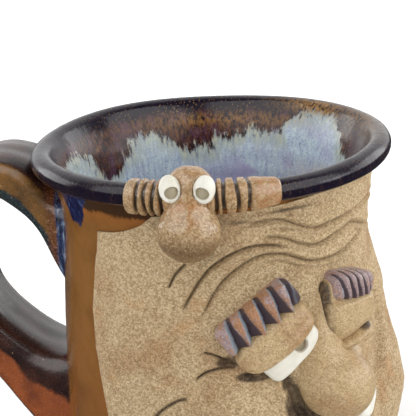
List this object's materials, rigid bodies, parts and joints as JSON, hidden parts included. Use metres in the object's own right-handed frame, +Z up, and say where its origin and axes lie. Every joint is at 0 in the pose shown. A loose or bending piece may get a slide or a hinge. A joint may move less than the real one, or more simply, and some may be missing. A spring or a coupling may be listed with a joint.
{
  "type": "face mug",
  "caption": "Handled stoneware drinking mug with a sculpted caricature face on the front and a small figure peeking over the rolled rim.",
  "frame": {"origin": "centre of the foot ring, on the plane the mug stands on", "axes": "+Z up along the cup's axis; the handle points along -X with its middle plane in XZ; the face looks out between +X and -Y, 40 degrees below +X"},
  "size_m": [0.1389, 0.1109, 0.1262],
  "materials": {
    "body_glaze": "gloss",
    "handle_glaze": "gloss",
    "sand_clay": "matte",
    "pad_clay": "matte",
    "critter_clay": "satin",
    "brow_glaze": "gloss",
    "porcelain": "satin"
  },
  "bodies": {
    "root": {"mug_body": "body_glaze", "handle": "handle_glaze", "face_slab": "sand_clay", "left_eyeball": "porcelain", "left_eyelid": "pad_clay", "left_brow": "brow_glaze", "right_eyelid": "pad_clay", "right_lower_lid": "pad_clay", "right_brow": "brow_glaze", "nose_bulb": "pad_clay", "nose_bridge": "pad_clay", "left_cheek": "pad_clay", "right_cheek": "pad_clay", "chin": "pad_clay", "critter_left_eye": "porcelain", "critter_right_eye": "porcelain", "critter_head": "critter_clay", "critter_nose": "critter_clay", "upper_lip": "pad_clay", "lower_lip": "pad_clay", "critter_left_hand": "critter_clay", "critter_right_hand": "critter_clay", "tooth_1": "porcelain", "tooth_2": "porcelain", "tooth_3": "porcelain", "tooth_4": "porcelain", "tooth_5": "porcelain", "tooth_6": "porcelain"}
  },
  "joints": []
}
